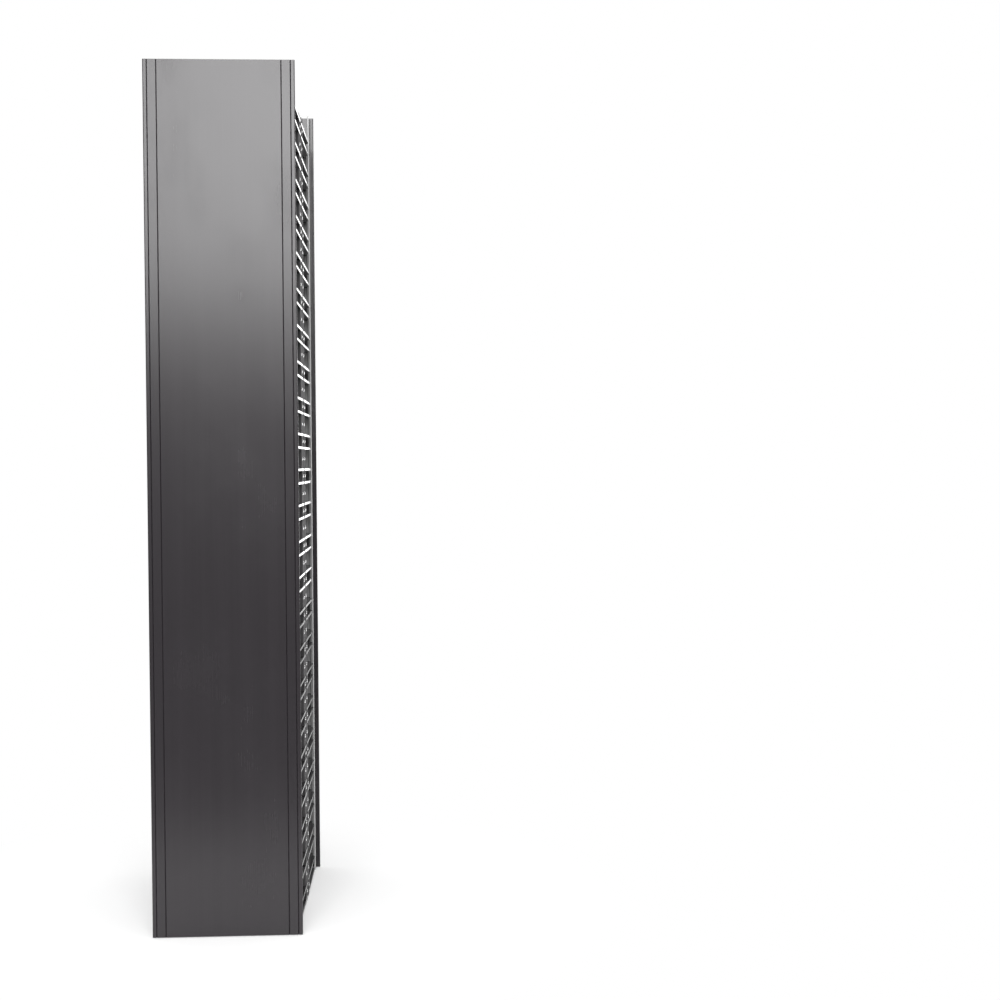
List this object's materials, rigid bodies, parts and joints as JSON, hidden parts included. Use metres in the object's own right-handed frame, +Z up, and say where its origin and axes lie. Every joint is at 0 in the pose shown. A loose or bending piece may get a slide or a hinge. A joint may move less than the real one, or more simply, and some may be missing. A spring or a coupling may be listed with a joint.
{
  "type": "vertical cable manager",
  "caption": "Double-sided vertical cable manager: back-to-back finger ducts on a steel spine, closed front and rear by hooked covers that swing open on the finger tips.",
  "frame": {"origin": "centre of the footprint on the floor", "axes": "+X across the width, to the right as seen from the front; +Y from the front cover to the rear cover; +Z up"},
  "size_m": [0.178, 0.305, 1.04],
  "materials": {
    "cover_vinyl": "satin black vinyl extrusion with fine vertical lines",
    "strip_vinyl": "grey flexible vinyl, slightly translucent and soft",
    "finger_plastic": "smooth black moulded plastic with shiny edges",
    "rail_plastic": "matt dark grey extrusion",
    "duct_plastic": "matt black sheet",
    "guard_plastic": "matt black moulded edge trim",
    "galvanised_steel": "zinc-plated sheet",
    "bolt_steel": "zinc-plated",
    "rivet_metal": "bright drawn metal"
  },
  "bodies": {
    "duct_frame": {"spine_plate": "galvanised_steel", "front_panel": "duct_plastic", "rear_panel": "duct_plastic", "front_left_rail": "rail_plastic", "front_right_rail": "rail_plastic", "rear_left_rail": "rail_plastic", "rear_right_rail": "rail_plastic", "front_left_lower_fingers": "finger_plastic", "front_left_upper_fingers": "finger_plastic", "front_right_lower_fingers": "finger_plastic", "front_right_upper_fingers": "finger_plastic", "rear_left_lower_fingers": "finger_plastic", "rear_left_upper_fingers": "finger_plastic", "rear_right_lower_fingers": "finger_plastic", "rear_right_upper_fingers": "finger_plastic", "front_left_rivets": "rivet_metal", "front_right_rivets": "rivet_metal", "rear_left_rivets": "rivet_metal", "rear_right_rivets": "rivet_metal", "left_backing_plates": "galvanised_steel", "right_backing_plates": "galvanised_steel", "front_opening_guards": "guard_plastic", "rear_opening_guards": "guard_plastic", "spine_bolts": "bolt_steel", "spine_nuts": "bolt_steel"},
    "front_cover": {"front_cover": "cover_vinyl", "front_cover_hinge_strip": "strip_vinyl", "front_cover_latch_strip": "strip_vinyl"},
    "rear_cover": {"rear_cover": "cover_vinyl", "rear_cover_hinge_strip": "strip_vinyl", "rear_cover_latch_strip": "strip_vinyl"}
  },
  "joints": [
    {"name": "front_cover_hinge", "type": "hinge", "parent": "duct_frame", "child": "front_cover", "pos_m": [0.0774, -0.1365, 0.5205], "axis": [0, 0, 1], "range_deg": [0, 100]},
    {"name": "rear_cover_hinge", "type": "hinge", "parent": "duct_frame", "child": "rear_cover", "pos_m": [0.0774, 0.1365, 0.5205], "axis": [0, 0, -1], "range_deg": [0, 100]}
  ]
}
